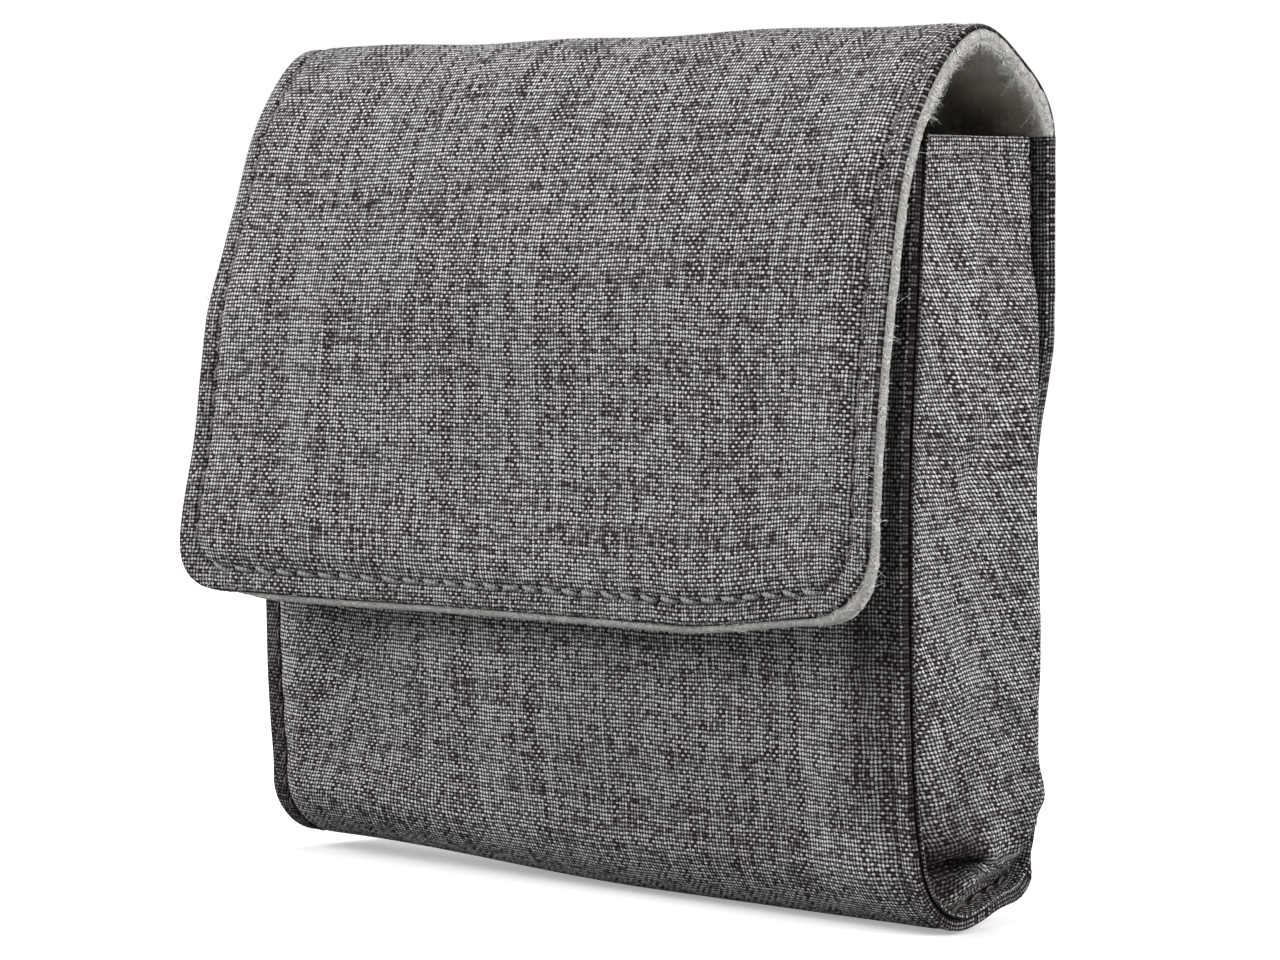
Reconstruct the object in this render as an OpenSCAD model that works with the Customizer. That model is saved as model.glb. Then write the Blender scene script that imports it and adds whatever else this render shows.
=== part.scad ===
// Soft accessory pouch: one long strip of woven cloth makes the front, base, back and flap,
// two gussets close its sides with pinched, edge-stitched seams, and felt lines the strip.
// Origin: middle of the base. +X along the width, -Y out of the front, +Z up. Millimetres.

/* [Pouch body] */
// Width over the two side seam ridges
body_w = 115; // [90:1:160]
// Depth from front to back at the side seams
body_d = 24.5; // [22:0.5:34]
// Height of the back and of the gussets
body_h = 93; // [80:1:120]
// How far the front's top edge sits below the gusset tops
front_drop = 1.5; // [0.5:0.5:4]
// How far the front swells at mid height, along the side seams
front_belly = 1.4; // [0:0.1:3]
// Extra fullness at the middle of the front
front_pillow = 1.8; // [0:0.1:3]
// Radius of the bend from the front to the base
front_bend_r = 6; // [5:0.5:9]
// Radius of the bend from the base to the back
back_bend_r = 10; // [6:0.5:12]

/* [Cloth and seams] */
// Thickness of the woven cloth
cloth_t = 0.6; // [0.4:0.1:1]
// Thickness of the felt lining
felt_t = 1.4; // [1:0.1:3]
// How far the pinched side seams stand out past the gussets
ridge_w = 3.2; // [2:0.1:5]
// Thickness of the gusset side of a ridge, with its turned-in allowances
ridge_t = 1.5; // [0.8:0.1:2]
// Depth of the turned hem along a gusset's top
gusset_hem = 3; // [2:0.5:8]
// How far a gusset swells outward from its seams
gusset_belly = 2.8; // [0:0.1:4]
// Length below a gusset's hem over which it comes out to its full swelling
gusset_run = 34; // [15:1:50]

/* [Flap] */
// How far the flap stands past each side seam ridge
flap_overhang = 2; // [0:0.5:4]
// How far the flap hangs below the gusset tops
flap_drop = 58; // [48:1:66]
// Height of the flap's crest above the gusset tops
arch_h = 13; // [8:0.5:20]
// How far the crest sits behind the front face
crest_set = 9.2; // [6:0.1:12]
// How far the flap's lower corners stand out from the front face
flap_stand = 12; // [9:0.5:16]
// Radius of the flap's lower corners
corner_r = 9; // [4:0.5:16]
// Gap between the flap's lining and the front's top edge
flap_clear = 0.6; // [0.4:0.1:2]

/* [Closure] */
// Width of the hook and loop patches
patch_w = 40; // [20:1:60]
// Height of the hook and loop patches
patch_h = 20; // [12:1:22]
// Distance from the flap's lower edge to the patches
patch_up = 6; // [5:0.5:8]
// Thickness of the hook patch
hook_t = 0.9; // [0.6:0.1:1.5]
// Thickness of the loop patch
loop_t = 0.9; // [0.6:0.1:1.5]

/* [Hidden] */

weave_colour = [0.43, 0.42, 0.43];
felt_colour = [0.80, 0.77, 0.72];
patch_colour = [0.20, 0.19, 0.19];

fold_gap = 0.3;     // left between the rigid stretches of the strip at each fold
closure_gap = 0.3;  // left between the hook and the loop patch
seat_gap = 0.05;    // nap under a sewn-on patch
lining_gap = 0.2;   // between the lining's side edges and the gussets

// Handles of the flap's curves: how far it keeps the direction it has at each named place.
rear_handle = 6.5;
roof_handle = 4.5;
crest_handle = 5;
shoulder_handle_up = 6;
shoulder_handle_down = 9;
hang_handle = 18;
shoulder_angle = 68;  // slope of the flap where it passes the front's top edge
hang_angle = 88;      // slope of the flap above its lower corners

front_rows = 12;
web_rows = 9;
web_columns = 10;
bend_rows = 6;
roof_rows = 12;
brow_rows = 7;
drop_rows = 11;
corner_rows = 6;
columns = 12;
patch_rows = 4;
patch_columns = 8;

front_y = -body_d / 2;
back_y = body_d / 2;
front_h = body_h - front_drop;
web_x = body_w / 2 - ridge_w;
lining_x = web_x - cloth_t - lining_gap;
flap_t = cloth_t + felt_t;
flap_w = body_w + 2 * flap_overhang;
hem_z = body_h - flap_drop;
crest = [front_y + crest_set, body_h + arch_h];
patch_z = hem_z + patch_up;

// --- curves ---

function lerp(a, b, t) = a + (b - a) * t;
function ease(t) = let (c = max(0, min(1, t))) c * c * (3 - 2 * c);
function unit(v) = v / norm(v);
function heading(angle) = [-cos(angle), -sin(angle)];  // forward and down, in (y, z)
function left_of(v) = unit([v[1], -v[0]]);              // the outer side of a strip that runs along v

function bezier(p, t) =
    pow(1 - t, 3) * p[0] + 3 * pow(1 - t, 2) * t * p[1] + 3 * (1 - t) * t * t * p[2] + pow(t, 3) * p[3];
function bezier_run(p, t) =
    pow(1 - t, 2) * (p[1] - p[0]) + 2 * (1 - t) * t * (p[2] - p[1]) + t * t * (p[3] - p[2]);
// The place on a falling curve that is at height z, by halving
function bezier_at(p, z, low = 0, high = 1, n = 24) =
    let (mid = (low + high) / 2)
    n == 0 ? mid : bezier(p, mid)[1] > z ? bezier_at(p, z, mid, high, n - 1) : bezier_at(p, z, low, mid, n - 1);

// --- the body's outline, seen from the side ---

// Share of the full swelling at height z: none at the top edge and at the bend, all half way up
function swell(z) =
    let (middle = (front_h + front_bend_r) / 2, half = (front_h - front_bend_r) / 2)
    max(0, 1 - pow((z - middle) / half, 2));
function front_face(x, z) = front_y - swell(z) * (front_belly + front_pillow * (1 - pow(2 * x / body_w, 2)));

// A row is [y, z, outward y, outward z, share of the pillow]
function bend(centre, r, from) =
    [for (i = [0 : bend_rows]) let (a = from + 90 * i / bend_rows)
        [centre[0] + r * cos(a), centre[1] + r * sin(a), cos(a), sin(a), 0]];
function body_outline() = concat(
    [for (i = [0 : front_rows - 1]) let (z = lerp(front_h, front_bend_r, i / front_rows))
        [front_y - swell(z) * front_belly, z, -1, 0, swell(z)]],
    bend([front_y + front_bend_r, front_bend_r], front_bend_r, 180),
    bend([back_y - back_bend_r, back_bend_r], back_bend_r, 270),
    [[back_y, body_h, 1, 0, 0]]
);
function body_point(row, x, inset) = [
    x,
    row[0] - inset * row[2] - row[4] * front_pillow * (1 - pow(2 * x / body_w, 2)),
    row[1] - inset * row[3],
];

// --- the flap's path, from the back fold over the crest to its lower edge ---

flap_start = [back_y, body_h + fold_gap];
shoulder = [front_y - flap_t / sin(shoulder_angle) - flap_clear, body_h];
hem = [front_y - flap_stand, hem_z];
corner_top = hem - corner_r * heading(hang_angle);
roof_end = crest + [fold_gap / 2, 0];
brow_start = crest - [fold_gap / 2, 0];

roof_curve = [flap_start, flap_start + [0, rear_handle], roof_end + [roof_handle, 0], roof_end];
brow_curve = [
    brow_start, brow_start - [crest_handle, 0],
    shoulder - shoulder_handle_up * heading(shoulder_angle), shoulder
];
drop_curve = [
    shoulder, shoulder + shoulder_handle_down * heading(shoulder_angle),
    corner_top - hang_handle * heading(hang_angle), corner_top
];

// Where the cloth's face has to be for the two patches to meet at the middle
mate_y = front_y - front_belly - front_pillow - loop_t - hook_t - closure_gap - 2 * seat_gap - flap_t;
function mate_share(z) = ease((body_h - z) / (body_h - patch_z - patch_h));

function on_drop(z) =
    z < corner_top[1]
        ? let (out = left_of(heading(hang_angle)))
            concat(lerp(hem, corner_top, (z - hem_z) / (corner_top[1] - hem_z)), out)
        : let (t = bezier_at(drop_curve, z)) concat(bezier(drop_curve, t), left_of(bezier_run(drop_curve, t)));
function half_width(z) =
    let (up = min(z - hem_z, corner_r)) flap_w / 2 - corner_r + sqrt(pow(corner_r, 2) - pow(corner_r - up, 2));

// A row is [y, z, outward y, outward z, half width, share of the dish]
function curve_row(p, t, half, share) = concat(bezier(p, t), left_of(bezier_run(p, t)), [half, share]);
function drop_row(z) = concat(on_drop(z), [half_width(z), mate_share(z)]);
function roof_path() = [for (i = [0 : roof_rows]) let (t = i / roof_rows)
    curve_row(roof_curve, t, lerp(body_w / 2, flap_w / 2, ease(t)), 0)];
function front_path() = concat(
    [for (i = [0 : brow_rows - 1]) curve_row(brow_curve, i / brow_rows, flap_w / 2, 0)],
    [for (i = [0 : drop_rows - 1]) drop_row(lerp(body_h, corner_top[1], i / drop_rows))],
    [for (i = [0 : corner_rows]) drop_row(hem_z + (corner_top[1] - hem_z) * (1 - sin(90 * i / corner_rows)))]
);
function flap_point(row, x, inset) =
    let (dish = row[5] * (mate_y - row[0]) * (1 - pow(2 * x / flap_w, 2)))
    [x, row[0] - inset * row[2] + dish, row[1] - inset * row[3]];

// --- solids between two grids of points that match one for one ---

module slab(outer, inner) {
    rows = len(outer);
    cols = len(outer[0]);
    lower = rows * cols;
    points = concat([for (row = outer) each row], [for (row = inner) each row]);
    function at(i, j) = i * cols + j;
    skins = [for (i = [0 : rows - 2], j = [0 : cols - 2]) each [
        [at(i, j), at(i + 1, j), at(i + 1, j + 1)],
        [at(i, j), at(i + 1, j + 1), at(i, j + 1)],
        [lower + at(i, j), lower + at(i + 1, j + 1), lower + at(i + 1, j)],
        [lower + at(i, j), lower + at(i, j + 1), lower + at(i + 1, j + 1)],
    ]];
    ends = [for (j = [0 : cols - 2]) each [
        [at(0, j), at(0, j + 1), lower + at(0, j + 1), lower + at(0, j)],
        [at(rows - 1, j + 1), at(rows - 1, j), lower + at(rows - 1, j), lower + at(rows - 1, j + 1)],
    ]];
    sides = [for (i = [0 : rows - 2]) each [
        [at(i + 1, 0), at(i, 0), lower + at(i, 0), lower + at(i + 1, 0)],
        [at(i, cols - 1), at(i + 1, cols - 1), lower + at(i + 1, cols - 1), lower + at(i, cols - 1)],
    ]];
    polyhedron(points, concat(skins, ends, sides), convexity = 6);
}

module body_sheet(rows, stations, from, to) {
    slab([for (row = rows) [for (x = stations) body_point(row, x, from)]],
         [for (row = rows) [for (x = stations) body_point(row, x, to)]]);
}

module flap_sheet(rows, stations, from, to) {
    slab([for (row = rows) [for (u = stations) flap_point(row, u * row[4], from)]],
         [for (row = rows) [for (u = stations) flap_point(row, u * row[4], to)]]);
}

lining_stations = [for (i = [0 : columns]) lerp(-lining_x, lining_x, i / columns)];
wrap_stations = concat([-body_w / 2], lining_stations, [body_w / 2]);
flap_stations = [for (i = [0 : columns]) lerp(-1, 1, i / columns)];

// --- pouch body ---

// Front, base and back in one strip, with its long edges in the side ridges
module outer_wrap() {
    color(weave_colour) body_sheet(body_outline(), wrap_stations, 0, cloth_t);
}

module pocket_lining() {
    color(felt_colour) body_sheet(body_outline(), lining_stations, cloth_t, flap_t);
}

// The side area that lies inside the strip, in (y, z), up to a given height
module side_area(inset, top = body_h) {
    polygon(concat(
        [[front_y + inset, top]],
        [for (row = body_outline()) [row[0] - inset * row[2], row[1] - inset * row[3]]],
        [[back_y - inset, top]]
    ));
}

module across(from, thickness) {
    translate([from, 0, 0]) rotate([90, 0, 90]) linear_extrude(thickness) children();
}

// Where that area begins and ends at height z
function leg(r, inset, z) = sqrt(max(0, pow(r - inset, 2) - pow(r - z, 2)));
function side_front(inset, z) = z < front_bend_r
    ? front_y + front_bend_r - leg(front_bend_r, inset, z)
    : front_y + inset - swell(z) * front_belly;
function side_back(inset, z) = z < back_bend_r
    ? back_y - back_bend_r + leg(back_bend_r, inset, z)
    : back_y - inset;

// A gusset's swelling: nothing at its seams and its hem, steep beside the seams, broad between them
ridge_foot = cloth_t + ridge_t;
function web_swell(y, z) =
    z <= ridge_foot ? 0 :
    let (
        front = side_front(ridge_foot, z),
        back = side_back(ridge_foot, z),
        u = 2 * (y - front) / (back - front) - 1,
        below_hem = ease((body_h - gusset_hem - z) / gusset_run),
        above_base = 1 - pow(1 - min(1, (z - ridge_foot) / back_bend_r), 3)
    )
    gusset_belly * below_hem * above_base * max(0, 1 - pow(u, 4));

// The web between the seams; its rim ends inside the ridges
module gusset_web() {
    rim = cloth_t + ridge_t / 2;
    heights = concat(
        [body_h],
        [for (i = [0 : web_rows - 1]) lerp(body_h - gusset_hem, back_bend_r, i / web_rows)],
        [for (i = [0 : bend_rows]) rim + (back_bend_r - rim) * (1 - sin(90 * i / bend_rows))]
    );
    function web_point(z, v, inset) =
        let (y = lerp(side_front(rim, z), side_back(rim, z), v)) [web_x - inset + web_swell(y, z), y, z];
    slab([for (z = heights) [for (j = [0 : web_columns]) web_point(z, j / web_columns, cloth_t)]],
         [for (z = heights) [for (j = [0 : web_columns]) web_point(z, j / web_columns, 0)]]);
}

// A gusset: its web, the flange that is pinched into the ridges, and the hem turned to the inside
module gusset() {
    color(weave_colour) {
        gusset_web();
        across(web_x - cloth_t, cloth_t + ridge_w) difference() {
            side_area(cloth_t);
            side_area(ridge_foot, body_h + front_drop);
        }
        across(web_x - 2 * cloth_t, 1.5 * cloth_t) intersection() {
            side_area(flap_t + lining_gap);
            translate([front_y, body_h - gusset_hem]) square([body_d, gusset_hem]);
        }
    }
}

module right_gusset() { gusset(); }
module left_gusset() { mirror([1, 0, 0]) gusset(); }

module loop_patch() {
    heights = [for (i = [0 : patch_rows]) lerp(patch_z + patch_h, patch_z, i / patch_rows)];
    stations = [for (i = [0 : patch_columns]) lerp(-patch_w / 2, patch_w / 2, i / patch_columns)];
    color(patch_colour) slab(
        [for (z = heights) [for (x = stations) [x, front_face(x, z) - seat_gap - loop_t, z]]],
        [for (z = heights) [for (x = stations) [x, front_face(x, z) - seat_gap, z]]]
    );
}

// --- flap ---

module flap_roof_cloth() {
    color(weave_colour) flap_sheet(roof_path(), flap_stations, 0, cloth_t);
}

module flap_roof_lining() {
    color(felt_colour) flap_sheet(roof_path(), flap_stations, cloth_t, flap_t);
}

module flap_front_cloth() {
    color(weave_colour) flap_sheet(front_path(), flap_stations, 0, cloth_t);
}

module flap_front_lining() {
    color(felt_colour) flap_sheet(front_path(), flap_stations, cloth_t, flap_t);
}

module hook_patch() {
    rows = [for (i = [0 : patch_rows]) drop_row(lerp(patch_z + patch_h, patch_z, i / patch_rows))];
    stations = [for (i = [0 : patch_columns]) lerp(-patch_w / 2, patch_w / 2, i / patch_columns)];
    color(patch_colour) slab(
        [for (row = rows) [for (x = stations) flap_point(row, x, flap_t + seat_gap)]],
        [for (row = rows) [for (x = stations) flap_point(row, x, flap_t + seat_gap + hook_t)]]
    );
}

outer_wrap();
pocket_lining();
left_gusset();
right_gusset();
loop_patch();
flap_roof_cloth();
flap_roof_lining();
flap_front_cloth();
flap_front_lining();
hook_patch();
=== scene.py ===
import math
import bpy
import numpy as np
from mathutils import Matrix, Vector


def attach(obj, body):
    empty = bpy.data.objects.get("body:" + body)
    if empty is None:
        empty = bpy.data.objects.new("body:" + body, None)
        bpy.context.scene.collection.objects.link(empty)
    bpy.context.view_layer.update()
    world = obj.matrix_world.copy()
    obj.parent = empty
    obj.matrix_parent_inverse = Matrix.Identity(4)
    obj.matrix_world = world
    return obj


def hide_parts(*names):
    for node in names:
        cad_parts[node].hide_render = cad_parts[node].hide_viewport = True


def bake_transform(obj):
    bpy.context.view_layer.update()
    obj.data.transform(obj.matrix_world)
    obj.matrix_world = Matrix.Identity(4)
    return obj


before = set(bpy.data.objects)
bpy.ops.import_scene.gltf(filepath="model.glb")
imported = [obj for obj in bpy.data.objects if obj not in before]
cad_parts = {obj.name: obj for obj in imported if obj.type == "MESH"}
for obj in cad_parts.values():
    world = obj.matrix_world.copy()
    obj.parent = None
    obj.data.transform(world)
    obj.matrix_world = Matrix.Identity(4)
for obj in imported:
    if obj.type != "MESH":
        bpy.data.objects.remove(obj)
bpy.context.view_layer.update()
print("frame loaded:", len(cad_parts), "nodes")

# Shapes are worked out in millimetres and put into the meshes in metres.

pouch = dict(
    halfWidth=57.5,    # middle to the tip of a seam ridge
    frontY=-12.25,
    backY=12.25,
    height=93.0,       # back and gussets
    frontTop=91.5,
    belly=1.4,         # swell of the front along its seams
    frontBend=8.5,
    backBend=12.5,
    seamX=54.3,        # where the ridges start
    cloth=0.6,
    clothInside=0.51,  # inner face of the strip's cloth, pressed by its felt
)
flap = dict(
    halfWidth=59.5,
    crest=(-3.05, 106.0),
    shoulder=(-15.01, 93.0),
    hem=(-24.25, 35.0),
    corner=10.5,
    shoulderAngle=68.0,
    hangAngle=88.0,
    mateY=-19.65,      # cloth face over the closure
    edgeRow=3.0,       # from stitch row to edge
)
pocket = dict(
    halfWidth=53.3,
    proud=0.7,         # felt past the front's top edge
    face=0.62,         # from the cloth's outer face to the felt
    thick=1.3,
    cornerRise=1.6,    # how far its front corners stand out of the mouth
)
lining = dict(
    thick=1.5,
    proudSide=0.4,     # felt past the cloth's edge, at the sides and at the bottom
    proudLow=0.85,
    corner=9.0,
    seat=0.02,         # from the cloth's inner face
)
sewing = dict(
    pitch=3.5, length=3.0, radius=0.31,
    lift=0.14, sink=0.42,                    # how far a stitch's middle rises and its ends go in
    slant=0.55, groove=0.16,
)


def ease(t):  # 3t^2 - 2t^3 between 0 and 1, level outside
    t = np.clip(t, 0, 1)
    return t * t * (3 - 2 * t)


def bump(t):  # bell of height 1 and half width 1: e^(-t^2)
    return np.exp(-np.square(t))


def quarter(t):  # quarter of a circle, rising from 0 to 1: sqrt(1 - (1 - t)^2)
    return np.sqrt(np.clip(1 - (1 - np.clip(t, 0, 1)) ** 2, 0, 1))


def unit(vectors):
    return vectors / np.linalg.norm(vectors, axis=-1, keepdims=True)


def distances(path):  # length along a flat path at each of its points
    return np.r_[0, np.cumsum(np.hypot(*np.diff(path, axis=0).T))]


def walk(path, length, at):  # points of a flat path at the lengths in at
    return np.stack([np.interp(at, length, part) for part in path.T], -1)


def ripple(a, b, length, seed, waves=7):
    # Sum of plane waves of about one length, with seeded headings and phases, scaled to about -1 to 1
    pick = np.random.default_rng(seed)
    total = 0.0
    for _ in range(waves):
        turn, size, start = pick.uniform(0, math.tau), length * pick.uniform(0.7, 1.6), pick.uniform(0, math.tau)
        total = total + np.sin(math.tau * (a * math.cos(turn) + b * math.sin(turn)) / size + start)
    return total / waves ** 0.5


def bezier(points, count=90):
    # Cubic from the first point to the last, pulled towards the two between them
    t = np.linspace(0, 1, count)[:, None]
    a, b, c, d = np.array(points, float)
    return (1 - t) ** 3 * a + 3 * (1 - t) ** 2 * t * b + 3 * (1 - t) * t ** 2 * c + t ** 3 * d


def heading(angle):  # forward and down, as (y, z)
    return np.array([-math.cos(math.radians(angle)), -math.sin(math.radians(angle))])


class Profile:
    # A path seen from the side, as (y, z), read by the length along it; its outer side is on the left of its run
    def __init__(self, points, zero=0.0):
        points = np.array(points, float)
        apart = np.hypot(*np.diff(points, axis=0).T) > 1e-6
        self.points = points[np.r_[True, apart]]
        self.length = distances(self.points) - zero
        run = unit(np.gradient(self.points, self.length, axis=0))
        self.out = np.c_[run[:, 1], -run[:, 0]]

    def at(self, s):
        return tuple(np.interp(s, self.length, part) for part in self.points.T)

    def outward(self, s):
        return tuple(np.moveaxis(unit(walk(self.out, self.length, s)), -1, 0))

    def nearest(self, y, z):  # length at the path's point closest to (y, z)
        return self.length[np.argmin(np.hypot(*(self.points - [y, z]).T))]


def arc(centre, radius, start, stop, count=40):
    a = np.radians(np.linspace(start, stop, count))
    return np.c_[centre[0] + radius * np.cos(a), centre[1] + radius * np.sin(a)]


def bodySwell(z, foot=6.0):  # 1 at mid height of the front, falling as a parabola to 0 at its top and its foot
    middle, half = (pouch["frontTop"] + foot) / 2, (pouch["frontTop"] - foot) / 2
    return np.clip(1 - ((z - middle) / half) ** 2, 0, 1)


def makeBodyProfile():
    # Down the front, round two bends under the base and up the back. A short stretch above the front's top edge has
    # lengths below 0.
    p = pouch
    z = np.linspace(p["frontTop"], p["frontBend"], 160)
    front = np.c_[p["frontY"] - bodySwell(z) * p["belly"] * ease((z - p["frontBend"]) / 12), z]
    leanBack, rise = 0.15, 3
    above = [[front[0, 0] + leanBack, p["frontTop"] + rise]]
    return Profile(np.vstack([
        above, front,
        arc((p["frontY"] + p["frontBend"], p["frontBend"]), p["frontBend"], 180, 270),
        arc((p["backY"] - p["backBend"], p["backBend"]), p["backBend"], 270, 360),
        np.c_[np.full(120, p["backY"]), np.linspace(p["backBend"], p["height"], 120)],
    ]), zero=math.hypot(leanBack, rise))


def makeFlapProfile():
    f = flap
    crest, shoulder, hem = np.array(f["crest"]), np.array(f["shoulder"]), np.array(f["hem"])
    down, hang = heading(f["shoulderAngle"]), heading(f["hangAngle"])
    cornerTop = hem - f["corner"] * hang
    start = np.array([pouch["backY"], pouch["height"]])
    return Profile(np.vstack([
        bezier([start, start + [0, 6.7], crest + [4.6, 0], crest]),
        bezier([crest, crest - [5.1, 0], shoulder - 6 * down, shoulder]),
        bezier([shoulder, shoulder + 9 * down, cornerTop - 18 * hang, cornerTop]),
        [hem, hem + 3 * hang],
    ]))


sitting = dict(lift=1.6, drawn=1.5, tucked=1.3, slack=1.25)


def settle(points):
    # How the filled pouch sits: the base lifts a little towards its left end and behind its right corner, the right
    # front seam is slack and goes in, and below two thirds of its height the gussets' swelling draws the back seams
    # forward and tucks them in
    x, y, z = np.moveaxis(points, -1, 0)
    lift = sitting["lift"] * ease((8 - x) / 55) * (1 - ease(z / 26))
    low = ease((71 - z) / 18) * np.where(x > 0, 1.0, 0.7)
    seam = ease((np.abs(x) - 44) / 12)
    drawn = sitting["drawn"] * seam * low * ease((y + 2) / 12) * ease((z + 4) / 12)
    tucked = sitting["tucked"] * low * ease((y - 9.4) / 1.6) * ease((np.abs(x) - 54.6) / 2.4)
    slack = (sitting["slack"] * ease((z - 3) / 12) * (1 - 0.6 * ease((z - 50) / 30))
             * ease((x - 34) / 18) * ease((7 - y) / 17))
    lift = lift + sitting["lift"] * bump((y - 2.8) / 4.2) * ease((x - 34) / 16) * (1 - ease((z - 1) / 7))
    return np.stack([x - np.sign(x) * tucked - slack, y - drawn, z + lift], -1)


bodyPath = makeBodyProfile()
flapPath = makeFlapProfile()
bodyTop = bodyPath.length[-1]                       # length at the back's top edge
crestLength = flapPath.nearest(*flap["crest"])
hemLength = flapPath.nearest(*flap["hem"])
splitLength = crestLength * 0.52                    # roof and front pieces meet half way over the roof


def addMesh(name, points, faces, material, cloth=None, smooth=True, flatFrom=None):
    # points in millimetres; cloth holds (across, along, shade) for each point
    mesh = bpy.data.meshes.new(name)
    mesh.from_pydata((np.asarray(points) * 0.001).tolist(), [], faces)
    mesh.update()
    if cloth is not None:
        layer = mesh.attributes.new("cloth", "FLOAT_VECTOR", "POINT")
        layer.data.foreach_set("vector", np.asarray(cloth, np.float32).ravel())
    soft = np.full(len(faces), smooth)
    soft[len(faces) if flatFrom is None else flatFrom:] = False
    mesh.polygons.foreach_set("use_smooth", soft)
    mesh.materials.append(material)
    piece = bpy.data.objects.new(name, mesh)
    bpy.context.scene.collection.objects.link(piece)
    return piece


def gridFaces(rows, cols):
    # Quads of a grid whose points are numbered row by row
    i, j = np.meshgrid(np.arange(rows - 1), np.arange(cols - 1), indexing="ij")
    a = (i * cols + j).ravel()
    return np.c_[a, a + cols, a + cols + 1, a + 1]


def bandFaces(index):
    # Quads between neighbouring rows of point numbers
    a, b = index[:-1], index[1:]
    return np.stack([a[:, :-1], a[:, 1:], b[:, 1:], b[:, :-1]], -1).reshape(-1, 4)


def ringFaces(rows, cols):
    # Quads of a tube made of rows rings of cols points
    i, j = np.meshgrid(np.arange(rows - 1), np.arange(cols), indexing="ij")
    after = (j + 1) % cols
    return np.stack([i * cols + j, (i + 1) * cols + j, (i + 1) * cols + after, i * cols + after], -1).reshape(-1, 4)


def barFaces(rows, cols, start):
    # The same tube, closed at both ends, with its points numbered from start
    ends = [np.arange(cols).tolist(), (np.arange(cols)[::-1] + (rows - 1) * cols).tolist()]
    return [[k + start for k in face] for face in ringFaces(rows, cols).tolist() + ends]


def shell(name, outer, inner, quads, tris, material, cloth):
    # Two layers of the same sheet, the second turned over, and a wall round every free edge
    count = len(outer)
    loops = np.vstack([np.c_[quads[:, k], quads[:, (k + 1) % 4]] for k in range(4)]
                      + [np.c_[tris[:, k], tris[:, (k + 1) % 3]] for k in range(3)])
    key = np.sort(loops, axis=1) @ np.array([count, 1])
    _, where, times = np.unique(key, return_index=True, return_counts=True)
    free = loops[where[times == 1]]
    walls = np.c_[free[:, 1], free[:, 0], free[:, 0] + count, free[:, 1] + count]
    faces = (quads.tolist() + tris.tolist() + (quads[:, ::-1] + count).tolist()
             + (tris[:, ::-1] + count).tolist() + walls.tolist())
    return addMesh(name, np.vstack([outer, inner]), faces, material, np.vstack([cloth, cloth]), flatFrom=-len(walls))


def layered(name, panel, place, top, bottom, material, cloth):
    # A sheet between two offsets of a surface; place maps flat points and an offset to the surface
    points, quads, tris = panel
    outer, inner = (place(points[:, 0], points[:, 1], offset) for offset in (top, bottom))
    return shell(name, outer, inner, quads, tris, material, cloth)


noTriangles = np.zeros((0, 3), int)


def gridPanel(across, along):
    # A flat panel from its columns and rows, as (across, along) points, quads and no triangles
    points = np.stack(np.meshgrid(across, along), axis=-1).reshape(-1, 2)
    return points, gridFaces(len(along), len(across)), noTriangles


def bandedPanel(half, start, stop, corner, across, along, rings):
    # A flat panel with square top corners and round lower ones: an inner grid, and rings of points that
    # keep a set distance from the side and lower edges. Returns (across, along) points, quads and triangles.
    u, s = np.linspace(-(half - corner), half - corner, across), np.linspace(start, stop - corner, along)
    grid, gridQuads, _ = gridPanel(u, s)
    left, right = np.arange(along) * across, np.arange(along) * across + across - 1
    low = (along - 1) * across + np.arange(across)
    fan = 14
    chain = np.r_[left, np.full(fan, left[-1]), low, np.full(fan, low[-1]), right[::-1]]
    turn = np.linspace(180, 90, fan + 2)[1:-1]
    angle = np.radians(np.r_[np.full(along, 180), turn, np.full(across, 90), 180 - turn[::-1], np.zeros(along)])
    reach = corner - np.array(rings)                # rings are distances from the edge, largest first
    ring = grid[chain][:, None] + reach[None, :, None] * np.stack([np.cos(angle), np.sin(angle)], -1)[:, None]
    first = len(grid) + np.arange(len(chain))[:, None] * len(rings) + np.arange(len(rings))
    band = bandFaces(np.c_[chain, first])
    pinched = band[:, 0] == band[:, 3]
    return np.vstack([grid, ring.reshape(-1, 2)]), np.vstack([gridQuads, band[~pinched]]), band[pinched][:, :3]


def strips(half, start, stop, rings, across, along):
    # A plain panel with the same rings along its two sides
    side = half - np.array(rings)
    u = np.r_[-side[::-1], np.linspace(-side[0], side[0], across)[1:-1], side]
    return gridPanel(u, np.linspace(start, stop, along))


def fit(points, cutHalf, cutStop, corner):  # distance of flat points from the panel's side and lower edges
    side, low = cutHalf - np.abs(points[:, 0]), cutStop - points[:, 1]
    rounded = corner - np.hypot(np.clip(corner - side, 0, None), np.clip(corner - low, 0, None))
    return np.where((side < corner) & (low < corner), rounded, np.minimum(side, low))


def leftCorner(u, s):
    # The left corner is cut tighter than the right: a circle (a^2 + b^2) becomes the superellipse (a^3.6 + b^3.6)
    a = np.clip(-u - flap["halfWidth"] + flap["corner"], 1e-9, None)
    b = np.clip(s - hemLength + flap["corner"], 1e-9, None)
    grow = np.hypot(a, b) / (a ** 3.6 + b ** 3.6) ** (1 / 3.6) - 1
    return u - a * grow, s + b * grow


hang = dict(
    rightLift=2.5, tipDrop=0.4, leftLift=0.35,          # lower corners
    shoulder=0.7, waist=1.0, tip=2.2,                   # left side, in at the shoulder and out below it
    rightTip=0.9, rightShoulder=1.15,                   # right side, in at its tip and out at the shoulder
    wave=0.22, dip=0.9, crown=0.9,
)


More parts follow.
